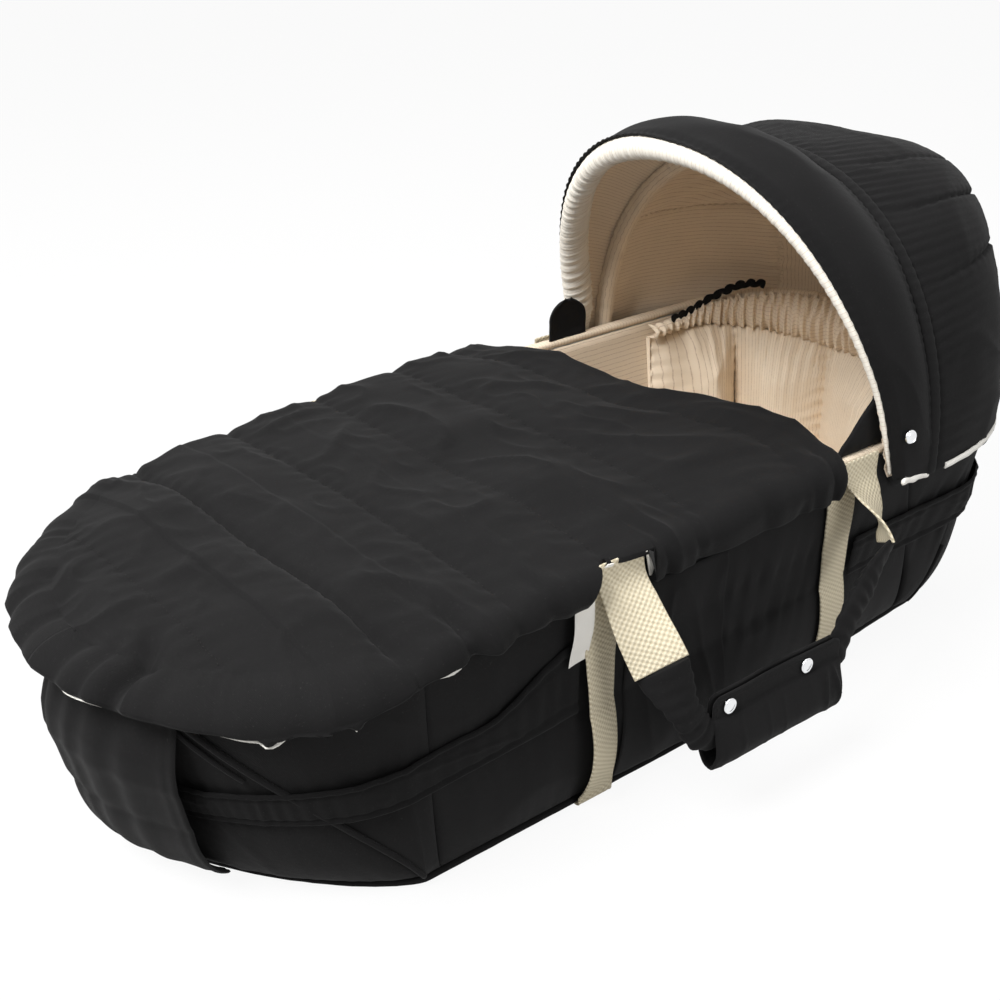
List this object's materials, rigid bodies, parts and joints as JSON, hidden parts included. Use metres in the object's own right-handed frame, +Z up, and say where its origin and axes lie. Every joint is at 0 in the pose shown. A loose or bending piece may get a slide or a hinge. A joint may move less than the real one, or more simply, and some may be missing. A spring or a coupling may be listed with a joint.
{
  "type": "carrycot",
  "caption": "Soft fabric carrycot with a folding quilted hood, webbing carry handles, a padded grip wrap that snaps shut and a quilted cover that lifts off",
  "frame": {"origin": "on the floor under the middle of the cot's box", "axes": "+X towards the head end with the hood, +Y towards the side away from the padded grip, +Z up"},
  "size_m": [0.8538, 0.4882, 0.4352],
  "materials": {
    "black_cotton": "matt black cotton twill",
    "cream_stripe": "cream cotton with fine brown stripes",
    "white_cotton": "plain white cotton",
    "ecru_webbing": "ecru herringbone webbing",
    "waterproof_black": "coated black fabric with a slight shine",
    "foam_grey": "soft wadding",
    "board_black": "stiff black board",
    "bow_steel": "spring steel bow",
    "snap_silver": "polished snap caps"
  },
  "bodies": {
    "cot": {"base_board": "board_black", "bottom_panel": "waterproof_black", "bottom_piping": "black_cotton", "far_ear": "black_cotton", "far_pivot": "black_cotton", "far_wall": "black_cotton", "foot_band": "black_cotton", "foot_far_gusset": "black_cotton", "foot_far_piping": "black_cotton", "foot_near_gusset": "black_cotton", "foot_near_piping": "black_cotton", "foot_strap": "black_cotton", "foot_wall": "black_cotton", "front_sling": "ecru_webbing", "gathered_band": "cream_stripe", "head_band": "black_cotton", "head_bumper": "cream_stripe", "head_far_gusset": "black_cotton", "head_far_piping": "black_cotton", "head_near_gusset": "black_cotton", "head_near_piping": "black_cotton", "head_wall": "black_cotton", "hood_rear_lining": "cream_stripe", "hood_rear_panel": "black_cotton", "inner_liner": "cream_stripe", "label_tab": "white_cotton", "mattress": "cream_stripe", "near_ear": "black_cotton", "near_pivot": "black_cotton", "near_pocket": "black_cotton", "near_wall": "black_cotton", "rear_sling": "ecru_webbing", "rim_binding": "cream_stripe", "wall_padding": "foam_grey"},
    "cover": {"cover_lining": "white_cotton", "cover_top": "black_cotton"},
    "far_handle": {"far_front_webbing": "ecru_webbing", "far_rear_webbing": "ecru_webbing", "far_sleeve": "black_cotton"},
    "hood_front": {"far_hood_snap": "snap_silver", "front_bow": "bow_steel", "front_roll": "white_cotton", "near_hood_snap": "snap_silver"},
    "near_handle": {"grip_back": "black_cotton", "grip_stud_front": "snap_silver", "grip_stud_rear": "snap_silver", "near_front_webbing": "ecru_webbing", "near_rear_webbing": "ecru_webbing", "near_sleeve": "black_cotton"},
    "grip_flap": {"grip_flap": "black_cotton", "grip_snap_front": "snap_silver", "grip_snap_rear": "snap_silver"},
    "hood_mid": {"hood_front_lining": "cream_stripe", "hood_front_panel": "black_cotton", "mid_bow": "bow_steel", "mid_bow_casing": "cream_stripe"}
  },
  "joints": [
    {"name": "hood_mid_fold", "type": "hinge", "parent": "cot", "child": "hood_mid", "pos_m": [0.22628, 0.00343, 0.182], "axis": [0, 1, 0], "range_deg": [0, 45], "deforming": ["hood_rear_panel", "hood_rear_lining"]},
    {"name": "hood_front_fold", "type": "hinge", "parent": "hood_mid", "child": "hood_front", "pos_m": [0.22628, 0.00343, 0.182], "axis": [0, 1, 0], "range_deg": [0, 13.5], "deforming": ["hood_front_panel", "hood_front_lining"]},
    {"name": "near_handle_swing", "type": "hinge", "parent": "cot", "child": "near_handle", "pos_m": [0.01128, -0.17797, 0.209], "axis": [-1, 0, 0], "range_deg": [0, 150]},
    {"name": "far_handle_swing", "type": "hinge", "parent": "cot", "child": "far_handle", "pos_m": [0.01128, 0.18483, 0.209], "axis": [1, 0, 0], "range_deg": [0, 150]},
    {"name": "grip_flap_fold", "type": "hinge", "parent": "near_handle", "child": "grip_flap", "pos_m": [0.01128, -0.23257, 0.0465], "axis": [1, 0, 0], "range_deg": [0, 100]},
    {"name": "cover_lift", "type": "slide", "parent": "cot", "child": "cover", "axis": [-0.2496, 0, 0.9684], "range_m": [0, 0.3]}
  ],
  "couplings": [
    {"joint": "hood_front_fold", "follows": "hood_mid_fold", "ratio": 0.3}
  ]
}
